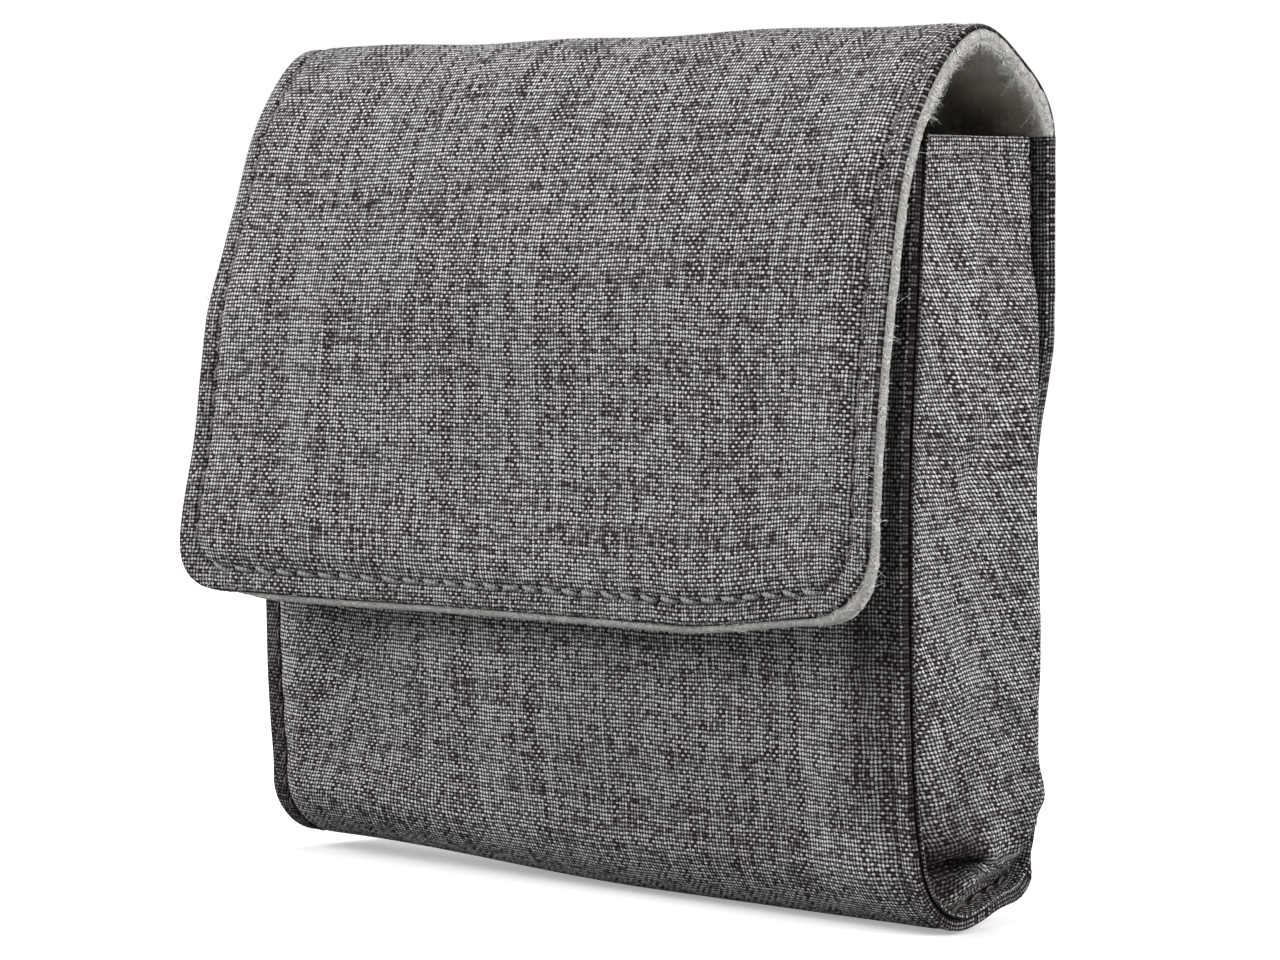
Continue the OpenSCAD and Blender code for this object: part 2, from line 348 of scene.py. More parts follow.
def flapPoint(u, s, n=0.0):
    # The flap's path carried across its width. Below the shoulder the middle is drawn in to the closure by
    # (mate - y)(1 - across^2), and the left side hangs further out towards its corner.
    lower = ease((s - hemLength + 30) / 30)
    s = s - lower * (hang["rightLift"] * ease((u - 25) / 30) - hang["tipDrop"] * ease((u - 52) / 6)
                     + hang["leftLift"] * ease((-u - 30) / 24))
    u, s = leftCorner(u, s)
    y, z = flapPath.at(s)
    outY, outZ = flapPath.outward(s)
    across = u / flap["halfWidth"]
    widen = pouch["halfWidth"] + 2 * ease(s / crestLength)
    falling = s > crestLength
    below = falling * ease((s - crestLength) / 8)
    y = y + ease((pouch["height"] - z) / 32) * falling * (flap["mateY"] - y) * (1 - across ** 2)
    leftness = (np.clip(1 - across, 0, 2) / 2) ** 3
    drift = (hang["shoulder"] * bump((z - 87) / 7) - hang["waist"] * ease((80 - z) / 10)
             - hang["tip"] * ease((58 - z) / 20))
    rightDrift = hang["rightTip"] * ease((s - 62) / 26) - hang["rightShoulder"] * bump((z - 90) / 14) * below
    y = y + leftness * drift * below + ease((across - 0.5) / 0.5) * rightDrift
    n = (n + hang["wave"] * ripple(u, s, 38, 3) * ease(s / 14)
         - hang["dip"] * ease((u - 20) / 40) * bump((s - crestLength * 0.62) / 7))
    lift = hang["crown"] * leftness * bump((s - crestLength) / 9)
    return np.stack([across * widen, y + n * outY, z + n * outZ + lift], -1)


def bodyPoint(x, s, n=0.0):
    y, z = bodyPath.at(s)
    outY, outZ = bodyPath.outward(s)
    return np.stack([x + 0 * s, y + n * outY, z + n * outZ], -1)


def tubes(name, centres, radii, ups, sides, material, cloth=None):
    # Many short threads at once: rings of points round each centre line, from pole to pole.
    # centres is (threads, rings, 3), radii (threads, rings) and ups (threads, 3); the end rings close to a point.
    count, rings, _ = centres.shape
    run = unit(np.gradient(centres, axis=1))
    side = unit(np.cross(run, ups[:, None]))
    over = np.cross(side, run)
    a = np.arange(sides) * math.tau / sides
    body = (centres[:, 1:-1, None] + radii[:, 1:-1, None, None]
            * (np.cos(a)[:, None] * side[:, 1:-1, None] + np.sin(a)[:, None] * over[:, 1:-1, None]))
    points = np.concatenate([centres[:, :1], body.reshape(count, -1, 3), centres[:, -1:]], axis=1)
    each = points.shape[1]
    quads = 1 + ringFaces(rings - 2, sides)[:, [0, 3, 2, 1]]
    j = np.arange(sides)
    after, last = (j + 1) % sides, 1 + (rings - 3) * sides
    caps = np.vstack([np.c_[0 * j, 1 + after, 1 + j], np.c_[0 * j + each - 1, last + j, last + after]])
    move = np.arange(count)[:, None, None] * each
    faces = (quads + move).reshape(-1, 4).tolist() + (caps + move).reshape(-1, 3).tolist()
    if cloth is None:
        far = np.r_[0, np.cumsum(np.linalg.norm(np.diff(centres[0], axis=0), axis=1))]
        turnRound = np.r_[0, np.tile(np.arange(sides) / sides, rings - 2), 0]
        own = np.random.default_rng(count).uniform(0, 1, count)
        farRound = np.r_[far[0], np.repeat(far[1:-1], sides), far[-1]]
        cloth = np.stack(np.broadcast_arrays(farRound, turnRound, own[:, None]), -1).reshape(-1, 3)
    else:
        cloth = np.repeat(cloth, each, axis=0)
    return addMesh(name, points.reshape(-1, 3), faces, material, cloth)


def stitchRow(path, place, offset=0.0, thick=1.0, slant=1.0):
    # Threads laid along a flat path, each from one needle hole to the next; place maps flat points to the surface
    step, length = sewing["pitch"], distances(path)
    starts = np.arange(step * 0.3, length[-1] - sewing["length"] - 0.2, step)
    t = np.linspace(0, 1, 9)
    along = starts[:, None] + t * sewing["length"]
    pick = np.random.default_rng(len(path) + len(starts))
    slant = slant * (t - 0.5) * sewing["slant"] * (1 + 0.35 * pick.standard_normal((len(starts), 1)))
    flat = walk(path, length, along)
    run = unit(np.gradient(flat, axis=1))
    flat = flat + slant[..., None] * np.stack([-run[..., 1], run[..., 0]], -1)
    height = offset + (sewing["lift"] + sewing["sink"]) * np.sin(math.pi * t) ** 0.7 - sewing["sink"]
    centres = place(flat[..., 0], flat[..., 1], height + 0 * along)
    middle = flat[:, len(t) // 2].T
    above = place(*middle, offset + 1.0) - place(*middle, offset + 0.0)
    radii = thick * sewing["radius"] * np.sin(math.pi * (0.06 + 0.88 * t)) ** 0.4 + 0 * along
    return centres, radii, above


def sew(name, rows, material):
    centres, radii, ups = (np.concatenate(part) for part in zip(*rows))
    return tubes(name, centres, radii, unit(ups), 7, material)


class Wire:
    # A shader socket that Python's operators turn into Math nodes
    def __init__(self, tree, socket):
        self.tree, self.socket = tree, socket

    def math(self, operation, *others):
        return addNode(self.tree, "ShaderNodeMath", {"operation": operation}, dict(enumerate((self, *others))))

    def __add__(self, other): return self.math("ADD", other)
    def __sub__(self, other): return self.math("SUBTRACT", other)
    def __rsub__(self, other): return self.math("MULTIPLY_ADD", -1.0, other)
    def __mul__(self, other): return self.math("MULTIPLY", other)
    def __truediv__(self, other): return self.math("DIVIDE", other)
    def __pow__(self, other): return self.math("POWER", other)
    __radd__, __rmul__ = __add__, __mul__
    def floor(self): return self.math("FLOOR")
    def fract(self): return self.math("FRACT")
    def clip(self): return self.math("MAXIMUM", 0.0).math("MINIMUM", 1.0)


def addNode(tree, kind, settings=None, sockets=None, output=0):
    node = tree.nodes.new(kind)
    for key, value in (settings or {}).items():
        setattr(node, key, value)
    for key, value in (sockets or {}).items():
        if isinstance(value, Wire):
            tree.links.new(value.socket, node.inputs[key])
        else:
            node.inputs[key].default_value = value
    return Wire(tree, node.outputs[output])


def mixColour(tree, factor, a, b):
    return addNode(tree, "ShaderNodeMix", {"data_type": "RGBA", "clamp_factor": True}, {0: factor, 6: a, 7: b}, 2)


def relief(tree, height, distance, strength):
    return addNode(tree, "ShaderNodeBump", {}, {"Strength": strength, "Distance": distance, "Height": height})


def newMaterial(name, **constants):
    # Returns the material, its tree, its shader, and the cloth attribute as a whole and as its three parts
    material = bpy.data.materials.new(name)
    material.use_nodes = True
    tree = material.node_tree
    shader = tree.nodes["Principled BSDF"]
    for key, value in constants.items():
        shader.inputs[key.replace("_", " ")].default_value = value
    place = addNode(tree, "ShaderNodeAttribute", {"attribute_name": "cloth"}, output="Vector")
    parts = tree.nodes.new("ShaderNodeSeparateXYZ")
    tree.links.new(place.socket, parts.inputs[0])
    return material, tree, shader, place, *(Wire(tree, parts.outputs[k]) for k in range(3))


def feed(tree, shader, **wires):
    for key, wire in wires.items():
        tree.links.new(wire.socket, shader.inputs[key.replace("_", " ")])


def vector(tree, x, y, z=0.0):
    return addNode(tree, "ShaderNodeCombineXYZ", {}, {0: x, 1: y, 2: z})


def noise(tree, at, scale, detail=2.0, rough=0.5):
    return addNode(tree, "ShaderNodeTexNoise", {}, {"Vector": at, "Scale": scale, "Detail": detail, "Roughness": rough})


def dice(tree, x, y=0.0, z=0.0):  # a fixed random number for each whole-numbered place
    return addNode(tree, "ShaderNodeTexWhiteNoise", {"noise_dimensions": "3D"}, {"Vector": vector(tree, x, y, z)})


weaveLook = dict(
    warpPitch=0.50, weftPitch=0.51,          # millimetres from thread to thread
    light=(0.80, 0.775, 0.81, 1), dark=(0.0085, 0.0045, 0.0030, 1),
    warpTone=0.57, weftTone=0.93,            # share of light fibre in each set of threads
    band=1.5, slub=1.25, thread=0.30, fleck=0.80,    # how far each kind of unevenness moves the tone
    faint=0.12,                              # least tone, so that no float goes black
    yarn=0.78,                               # thread width as a share of the pitch
    wander=0.45,                             # how far threads stray from straight
    relief=0.00016, strength=0.8,
)


def yarnSet(tree, look, number, offset, along, phase, tone, seed):
    # One set of threads. Across, each is round: sqrt(1 - (offset / width)^2). Along, it rises and dives as a cosine
    # of its phase, so its height is round * (1 + 0.6 cos). Its tone is the set's, plus bands of a few threads, slubs
    # of a few millimetres, the thread's own and each float's own fleck.
    band = noise(tree, vector(tree, number * 0.33, along * 0.022, seed), 1.0, 2.0) - 0.5
    slub = noise(tree, vector(tree, number * 7.31, along * 0.24, seed + 4.0), 1.0, 2.0) - 0.5
    wide = slub * 0.5 + band * 0.25 + look["yarn"]
    high = (1.0 - (offset / wide) ** 2.0).clip() ** 0.5 * ((phase * math.pi).math("COSINE") * 0.6 + 1.0)
    floatNumber = (phase * 0.5 + 0.5).floor()
    fleck = (dice(tree, number, floatNumber, seed + 0.5) - 0.5) * look["fleck"]
    own = (dice(tree, number, 0.0, seed) - 0.5) * look["thread"] + fleck
    return high, band * look["band"] + slub * look["slub"] + own + tone


def melangeWeave(name, look):
    # A plain weave of melange yarn: warp and weft rise in turn, and the one that stands higher shows. Low places
    # between the threads are darkened as painted shade.
    material, tree, shader, place, u, v, shade = newMaterial(name, Roughness=0.9, Specular_IOR_Level=0.06)
    strayed = []
    for at, scale in ((place, 0.045), (vector(tree, u + 91.0, v + 37.0), 0.05)):
        slow, quick = noise(tree, at, scale, 2.0) - 0.5, noise(tree, at, 0.8, 2.0) - 0.5
        strayed.append(slow * (2.4 * look["wander"]) + quick * 0.34)
    a, b = (u + strayed[0]) / look["warpPitch"], (v + strayed[1]) / look["weftPitch"]
    i, j = a.floor(), b.floor()
    highWarp, toneWarp = yarnSet(tree, look, i, a.fract() * 2.0 - 1.0, v, b + i - 0.5, look["warpTone"], 1.0)
    highWeft, toneWeft = yarnSet(tree, look, j, b.fract() * 2.0 - 1.0, u, a + j + 0.5, look["weftTone"], 21.0)
    over = highWarp.math("GREATER_THAN", highWeft)
    high = highWarp.math("MAXIMUM", highWeft)
    tone = over * toneWarp + (1.0 - over) * toneWeft
    # painted shade, deepening away from each float's crown
    lit = ((high - 0.55) / 0.95).clip() ** 1.8
    fibre = noise(tree, place, 6.0, 2.0) * 0.9 + 0.55
    amount = (tone * fibre).math("MAXIMUM", look["faint"]).clip() ** 1.3 * lit * (1.0 - shade)
    ground = mixColour(tree, shade, look["dark"], [0.6 * c for c in look["dark"][:3]] + [1])
    colour = mixColour(tree, amount.clip(), ground, look["light"])
    feed(tree, shader, Base_Color=colour, Normal=relief(tree, high, look["relief"], look["strength"]))
    return material


feltLook = dict(
    pale=(0.95, 0.935, 0.905, 1), deep=(0.62, 0.50, 0.35, 1),
    sheen=0.6, relief=0.0011, strength=1.0,
    edgeShade=-1.3,                          # below 0: a painted highlight, which makes the felt's edge bead and fibres paler than the sheet they stand on
)


def napFelt(name, look):
    # Matted wool: crossing fibres, each a thin bright line where a bent noise passes its middle, over soft tufts
    material, tree, shader, place, u, v, shade = newMaterial(
        name, Roughness=1.0, Specular_IOR_Level=0.1, Sheen_Weight=look["sheen"], Sheen_Roughness=0.6)
    bend = noise(tree, place, 0.35, 2.0) * 5.0
    tuft = noise(tree, place, 0.6, 3.0, 0.6)
    fibre = 0.0
    for turn, seed in ((0.3, 1.0), (1.35, 12.0), (2.5, 31.0)):
        c, s = math.cos(turn), math.sin(turn)
        at = vector(tree, (u * c + v * s) * 2.3 + bend, (v * c - u * s) * 0.5 + bend, seed)
        line = noise(tree, at, 1.0, 2.0, 0.6)
        fibre = fibre + (1.0 - (line - 0.5).math("ABSOLUTE") * 9.0).clip() * 0.4
    tone = (tuft - 0.5) * 1.6 + fibre + 0.30
    colour = mixColour(tree, tone.clip() * (1.0 - shade), look["deep"], look["pale"])
    feed(tree, shader, Base_Color=colour, Normal=relief(tree, tuft + fibre, look["relief"], look["strength"]))
    return material


def spunThread(name, pale, dark):
    # Sewing thread: plies twisted round it show as slanted bands. The attribute holds millimetres along the thread,
    # the turn round it and each thread's own number.
    material, tree, shader, _, u, v, own = newMaterial(name, Roughness=0.7)
    ply = (u * 1.7 + v).fract() * 2.0 - 1.0
    ply = 1.0 - ply ** 2.0
    lint = noise(tree, vector(tree, u * 3.0 + own * 40.0, v * 6.0), 1.0, 2.0)
    colour = mixColour(tree, (ply * 0.75 + lint * 0.7 - 0.2).clip(), dark, pale)
    feed(tree, shader, Base_Color=colour, Normal=relief(tree, ply, 0.00012, 0.5))
    return material


def closureTape(name, pitch, depth):
    # Hook-and-loop tape: rows of small dots over a dark ground
    material, tree, shader, place, u, v, _ = newMaterial(name, Roughness=0.8)
    a, b = (u / pitch).fract() - 0.5, (v / pitch).fract() - 0.5
    dot = (1.0 - (a ** 2.0 + b ** 2.0) * 5.0).clip()
    lint = noise(tree, place, 1.4, 4.0)
    colour = mixColour(tree, dot * 0.6 + lint * 0.4, (0.012, 0.011, 0.011, 1), (0.075, 0.07, 0.07, 1))
    feed(tree, shader, Base_Color=colour, Normal=relief(tree, dot + lint * 0.5, depth, 0.6))
    return material


weave = melangeWeave("melangeWeave", weaveLook)
felt = napFelt("creamFelt", feltLook)
thread = spunThread("greyThread", (0.31, 0.305, 0.31, 1), (0.03, 0.024, 0.02, 1))
duskThread = spunThread("duskThread", (0.24, 0.22, 0.20, 1), (0.045, 0.036, 0.03, 1))
brownThread = spunThread("brownThread", (0.13, 0.11, 0.09, 1), (0.035, 0.027, 0.022, 1))
creamThread = spunThread("creamThread", (0.55, 0.52, 0.48, 1), (0.30, 0.27, 0.23, 1))
hookFinish = closureTape("hookTape", 1.1, 0.0005)
loopFinish = closureTape("loopTape", 0.6, 0.0003)
print("materials made")


ridge = dict(
    flat=2.78, roll=0.42, webRoll=0.30,      # width from seam to tip, and the radius of each cloth's turn over it
    crease=0.45, creaseWidth=0.5,
    puffLeft=2.2, puffRight=0.45, puffRun=2.3, pillow=1.5,
)


def ridgeSection(q):
    # Across the strip, q runs from one ridge's tip to the other's. Past the seam it goes flat, then rolls a half
    # turn over the tip. Returns the width position, and how far the face lies from the strip's own path.
    past = np.abs(q) - pouch["seamX"]
    roll = np.clip((past - ridge["flat"]) / ridge["roll"], 0, math.pi)
    x = pouch["seamX"] + np.clip(past, None, ridge["flat"]) + ridge["roll"] * np.sin(roll)
    n = -ridge["roll"] * (1 - np.cos(roll))
    crease = np.where(q > 0, 0.4 * bump((past - 0.9) / ridge["creaseWidth"]), bump(past / ridge["creaseWidth"]))
    return np.sign(q) * x, n - ridge["crease"] * crease


def stripPoint(q, s, n=0.0):
    # The strip's path, filled out between the seams: steep beside them, then a broad pillow, and flat on the base
    x, fall = ridgeSection(q)
    y, z = bodyPath.at(s)
    inside = np.clip(pouch["seamX"] - np.abs(q), 0, None)
    front = ease((-y - 3) / 6) * ease(z / 9)
    back = ease((y - 6) / 5) * ease(z / 12) * 0.3
    right = ridge["puffRight"] + 0.9 * ease((33 - z) / 14)
    puff = ridge["puffLeft"] + (right - ridge["puffLeft"]) * ease((q + 24) / 48)
    near = puff * (1 - np.exp(-inside / ridge["puffRun"]))
    settled = 0.9 * ease((inside - 3) / 12) * ease(near)                 # falls again past the seam's pull
    broad = ridge["pillow"] * (1 - (q / pouch["seamX"]) ** 2) * (np.abs(q) < pouch["seamX"])
    fadeTop = 1 - 0.7 * ease((z - 78) / 14)
    full = (((near - settled) * fadeTop + broad * bodySwell(z)) * front
            + ((near - settled) * 0.6 + broad * 0.4) * back * fadeTop)
    waves = 0.2 * ripple(q, s, 30, 11) * ease(inside / 6) * ease((z - 1) / 8)
    pulls = 0.12 * ripple(q * 0.5, s, 7, 12) * bump((inside - 2.5) / 2.5) * ease(z / 10)
    return settle(bodyPoint(x, s, n + fall + full + waves + pulls))


def stripCloth(q, s):
    # Thread axes of the strip: near the left seam the warp leans, as pulled cloth does. The shade is painted: deep in
    # both creases, over the ridges and their tips, in the shallow valley beside the right seam, and a light painted
    # shadow of the flap over the front panel.
    y, z = bodyPath.at(s)
    lean = 0.40 * ease((-12 - q) / 34) * ease((-y - 3) / 5)
    past = np.abs(q) - pouch["seamX"]
    front = ease((-y - 3) / 5)
    low = ease((32 - z) / 8)
    rightLine = (0.75 - (0.55 - 0.4 * low) * front) * bump((past - 0.9 * front) / 0.4)
    line = np.where(q < 0, 0.85 * bump(past / 0.55), rightLine)
    over = np.where(q < 0, 0.68, 0.45 - 0.30 * front * low) * ease((past - 0.1) / 0.6)
    tip = (0.55 + 0.40 * front) * ease((past - 3.5 + 0.35 * front) / 0.3)
    valley = (0.72 * bump((past + 2.4) / 3.4) * (q > 0) * front * ease((z - 6) / 14)
              * (1 - 0.35 * ease((34 - z) / 14)) * (past < 0.4))
    # painted shadow of the flap over the front panel
    panel = 0.16 * front * ease((q + 20) / 30) * ease((45 - q) / 8) * ease((z - 2) / 8)
    shade = line + over + tip + valley + panel
    return np.stack([q - lean * (z - 20), -s + 0.05 * q * lean, np.clip(shade, 0, 0.9)], -1)


ridgeHalf = pouch["seamX"] + ridge["flat"] + ridge["roll"] * math.pi
fineSteps = np.r_[0, 0.2, 0.4, 0.6, 0.8, 1.0, 1.2, 1.4, 1.6, 1.75, 2.1, 2.6, 3.1, 3.5, 3.75, 3.95, 4.1, 4.25,
                  4.35, 4.45, 4.6, 4.8, 5.1, 5.5, 6.0, 6.7, 7.6, 8.8, 10.2, 12.0]
coarse = ridgeHalf - fineSteps[-1]
acrossStrip = np.r_[-(ridgeHalf - fineSteps), np.linspace(-coarse, coarse, 44)[1:-1], (ridgeHalf - fineSteps)[::-1]]
stripPanel = gridPanel(acrossStrip, np.linspace(0, bodyTop, 240))
outerCloth = layered("outerCloth", stripPanel, stripPoint, 0, -pouch["clothInside"], weave,
                     stripCloth(*stripPanel[0].T))
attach(outerCloth, "pouch")
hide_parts("outer_wrap")


gusset = dict(
    swell=2.9, hem=3.0, foot=2.2, hemRow=2.5,
    standoff=0.15, leftShare=0.85,           # the left web swells less
    fold=0.85, hollow=0.9, bulge=1.8, lip=0.9, border=0.8, tuck=3.3,
)

footPath = Profile(bodyPath.points - gusset["foot"] * bodyPath.out)    # where the web leaves the ridges
lowest = np.argmin(footPath.points[:, 1] + 1e-3 * np.abs(footPath.points[:, 0] + 2))


def footAt(z, known):  # a value known at each point of the foot, at height z of its front and of its back
    level = footPath.points[:, 1]
    return np.interp(z, level[lowest::-1], known[lowest::-1]), np.interp(z, level[lowest:], known[lowest:])


def webSpan(z):  # the web's front and back limits at height z
    return footAt(np.maximum(z, gusset["foot"] + 1e-4), footPath.points[:, 0])


def rimGap(y, z):  # distance from flat points to the web's rim
    rim = footPath.points[::6]
    apart = (np.ravel(y)[:, None] - rim[:, 0]) ** 2 + (np.ravel(z)[:, None] - rim[:, 1]) ** 2
    return np.sqrt(apart.min(axis=1)).reshape(np.shape(y))


def tuckShape(y, z):
    # A pocket pressed in low at the front, between a curved lip above, the ridge on its left and a fold on its right
    lipZ = 8.9 - 0.055 * (y + 4.6) ** 2
    left, right = -10.3 + (9.0 - z) * 0.33, -0.3 - np.clip(8.1 - z, 0, None) * 0.84
    return lipZ, right, ease((y - left) / 1.2) * ease((right - y) / 1.2)


def webOut(y, z, v):
    # How far the web stands past its seams: a broad swell that starts lower down at the back and falls off low there,
    # hips over the back ridge, a soft upright fold below the hem, a slanting hollow at mid height, a full bulge low at
    # the back, and the tuck, deepest under its lip, with a soft fold on its right
    across = 2 * v - 1
    below = ease((92 - z) / (19 + 22 * v))
    low = 1 - (1 - np.clip((z - gusset["foot"]) / 7, 0, 1)) ** 2.5
    sharp = 9 + 34 * ease((z - 22) / 12) * (v < 0.5)
    beside = 1 - (1 - ease(rimGap(y, z) / 4.5)) * ease((17 - z) / 9) * ease((y + 4) / 4)
    form = gusset["swell"] * below * low * (1 - np.abs(across) ** sharp) * beside
    hips = ((1.2 + 0.8 * ease((80 - z) / 7) + 1.0 * ease((62 - z) / 22))
            * bump((v - 0.96) / 0.2) * low * (1 - np.abs(across) ** 50))
    fold = np.exp(-np.abs(y - 0.7 - (z - 88) * 0.17) / 2.4) * ease((92.0 - z) / 5) * ease((z - 64) / 16)
    hollow = bump((y - (1.4 + (z - 58.6) * 0.62)) / 2.3) * bump((z - 53) / 8.5)
    bulge = bump((y - 7.6) / 4.2) * bump((z - 12.2) / 4.8)
    waves = 0.24 * ripple(y * 1.6, z, 17, 21) * ease((90 - z) / 20) + 0.1 * ripple(y, z, 6, 22) * ease((60 - z) / 30)
    rim = 1 - np.abs(across) ** 14
    lipZ, right, within = tuckShape(y, z)
    tuck = ease((lipZ - z) / 0.9) * np.clip((z - 1.9) / 6.0, 0, 1) * within
    lip = bump((z - lipZ - 1.2) / 1.4) * ease((y + 11) / 3) * ease((2.8 - y) / 4)
    border = np.exp(-np.abs(y - right - 0.7) / 1.3) * ease((17 - z) / 9) * ease((z - 1.5) / 2)
    g = gusset
    raised = (g["fold"] * fold - g["hollow"] * hollow + g["bulge"] * bulge + g["lip"] * lip + g["border"] * border
              + waves * low)
    return form + (raised * rim + hips) * beside - g["tuck"] * tuck


def webShade(y, z):
    # Painted shade, deep under the tuck's lip and a little darker low at the back, and a painted highlight along the
    # upright fold
    lipZ, _, within = tuckShape(y, z)
    deep = (0.80 * bump((z - lipZ + 0.5) / 0.8) + 0.86 * ease((lipZ - z) / 1.0) * ease((z + 1.5) / 7)) * within
    deep = deep + 0.55 * bump((z - lipZ - 0.6) / 2.6) * ease((y + 11) / 2) * ease((0.6 - y) / 2) * (z > lipZ - 0.4)
    # painted highlight where the upright fold catches the light
    foldHighlight = bump((y - 0.4 - (z - 88) * 0.17) / 1.1) * ease((90 - z) / 5) * ease((z - 62) / 12)
    low = 0.22 * ease((y - 1.5) / 3) * ease((22 - z) / 10) + 0.34 * ease((3 - y) / 7) * ease((27 - z) / 15) * (z > lipZ)
    return deep + low - 0.35 * foldHighlight


def travelled(flat, out, axis):  # distance over the swell along one axis of the web's grid
    steps = (np.diff(part, axis=axis, prepend=part.take([0], axis=axis)) for part in (flat, out))
    return np.cumsum(np.hypot(*steps), axis=axis)


def webAxes(front, back, yy, zz, out, heights):
    # Thread axes of the web: measured over the swell, and leaning back as pulled cloth does, by the integral of its
    # lean down z. The shade is deep beside both seams, but less so where the web stands level with the front ridge.
    lean = 0.55 * ease((91 - heights) / 14) * (1 - 0.4 * ease((26 - heights) / 10))
    leant = np.cumsum(lean * np.abs(np.diff(heights, prepend=heights[0])))[:, None]
    leant = leant + 1.3 * np.sin(yy * 0.17 + zz * 0.10)
    stretchU = travelled(yy, out, 1)
    clothU = stretchU - stretchU[:, 26:27] - leant
    clothV = -travelled(zz, out, 0) - 0.16 * yy * ease((60 - zz) / 40)
    flush = 1 - 0.75 * ease((zz - 26) / 8) * ease((84 - zz) / 8)
    hemRow = pouch["height"] - zz - gusset["hemRow"]
    shade = (0.85 * bump((yy - front) / 0.6) * flush * ease((zz - 2) / 4) + 0.85 * bump((back - yy) / 0.4)
             + webShade(yy, zz) + 0.25 * bump(hemRow / 0.35))
    return np.stack([clothU, clothV, np.clip(shade, -0.4, 0.9)], -1)


def makeFlange(run):
    # The flange: out of the crease, along the ridge and a half turn over its tip, down to the strip's edge, at the
    # lengths in run. Returns its points, its cloth attribute, and how far its inner layer spreads along the ridge.
    roll, flat = ridge["webRoll"], ridge["flat"] + ridge["roll"] - ridge["webRoll"]
    pathY, pathZ = (part[:, None] for part in bodyPath.at(run))
    outY, outZ = (part[:, None] for part in bodyPath.outward(run))
    reach = np.r_[0.3, 0.5, 0.8, 1.2, 1.7, 2.2, flat]
    turn = np.linspace(0, math.pi, 10)[1:]
    flangeX = np.r_[pouch["seamX"] + reach, pouch["seamX"] + flat + roll * np.sin(turn)]
    flangeN = np.r_[0.25 * bump(reach / 0.6), roll * (1 - np.cos(turn))]
    frontRun = ease((-pathY - 3) / 5)
    inset = gusset["foot"] - flangeN - 0.35 * (1 - frontRun)
    points = np.stack([flangeX + 0 * inset, pathY - inset * outY, pathZ - inset * outZ], -1)
    # painted shade: deep in the crease and in the slot beside the strip's roll, paler over the tip, less low at the
    # back
    slot = 0.5 * np.r_[0 * reach, ease((turn - 1.9) / 0.5)] * (0.3 + 0.7 * frontRun)
    shade = np.r_[0.9 - 0.35 * ease(reach / 1.5), 0.55 - 0.2 * np.sin(turn)] + slot
    shade = shade * (1 - 0.55 * ease((13 - pathZ) / 4) * ease((pathY + 5) / 4))
    cloth = np.stack(np.broadcast_arrays(np.r_[reach, flat + roll * turn], run[:, None], np.clip(shade, 0, 0.95)), -1)
    spread = np.r_[np.full(len(reach), 0.5), 0 * turn]
    return points, cloth, np.stack(np.broadcast_arrays(spread - 0.5, outY * spread, outZ * spread), -1)


def makeGusset(name, node, side):
    foot = gusset["foot"]
    heights = np.r_[pouch["height"] - np.r_[0, 0.1, 0.25, 0.45, 0.7], np.linspace(pouch["height"] - 1, 12, 116),
                    foot + (12 - foot) * np.cos(np.linspace(0, math.pi / 2, 44))[1:]]
    v = np.linspace(0, 1, 61)
    v = 0.55 * v + 0.45 * (1 - np.cos(v * math.pi)) / 2
    zz, vv = np.meshgrid(heights, v, indexing="ij")
    front, back = webSpan(zz)
    yy = front + (back - front) * vv
    top = pouch["height"] - zz
    share = 1 if side > 0 else gusset["leftShare"]
    rounded = 0.5 * (1 - quarter(top / 0.6))
    out = webOut(yy, zz, vv) * share - rounded - 0.28 * bump((top - gusset["hemRow"]) / 0.4)
    web = np.stack([pouch["seamX"] + gusset["standoff"] + out, yy, zz], -1)
    rows, cols = len(heights), len(v)
    # The web's rim: down the front, along the base and up the back, as lengths along the strip
    runFront, runBack = footAt(heights, bodyPath.length)
    base = slice(lowest - 60, lowest + 60)
    low = np.interp(yy[-1, 1:], footPath.points[base, 0], bodyPath.length[base])
    run = np.r_[runFront, low, runBack[-2::-1]]
    rim = np.r_[np.arange(rows) * cols, (rows - 1) * cols + np.arange(1, cols),
                np.arange(rows - 2, -1, -1) * cols + cols - 1]
    flange, flangeCloth, flangeInner = makeFlange(run)
    index = np.c_[rim, rows * cols + np.arange(flange[..., 0].size).reshape(len(rim), -1)]
    quads = np.vstack([gridFaces(rows, cols), bandFaces(index)])
    hemmed = pouch["cloth"] * 0.8 + 0.9 * ease((gusset["hem"] + 0.6 - top) / 0.6)
    innerWeb = web - np.stack([hemmed, 0 * hemmed, 0 * hemmed], -1)
    points, inner, cloth = (np.vstack([a.reshape(-1, 3), b.reshape(-1, 3)]) for a, b in (
        (web, flange), (innerWeb, flange + flangeInner), (webAxes(front, back, yy, zz, out, heights), flangeCloth)))
    mirror = np.array([side, 1, 1])
    piece = shell(name, settle(points * mirror), settle(inner * mirror), quads[:, ::side], noTriangles, weave, cloth)
    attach(piece, "pouch")
    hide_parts(node)
    return piece


rightGusset = makeGusset("rightGusset", "right_gusset", 1)
leftGusset = makeGusset("leftGusset", "left_gusset", -1)


def squared(wave):  # a sine or cosine that fills a ring out towards a square
    return np.sign(wave) * np.abs(wave) ** 0.6


# Turned-in seam allowance inside each ridge: a rounded bar that follows the strip
turn = np.arange(12) * math.tau / 12
along = np.linspace(0.3, bodyTop - 0.3, 200)[:, None]
barX, barRun = np.broadcast_arrays(pouch["seamX"] + 1.25 + 1.1 * squared(np.cos(turn)), along)
inset = 1.05 + 0.62 * squared(np.sin(turn)) + 0 * barX
bars = [settle(bodyPoint(side * barX, barRun, -inset))[:, ::side] for side in (-1, 1)]
faces = [face for part in (0, 1) for face in barFaces(*barX.shape, part * barX.size)]
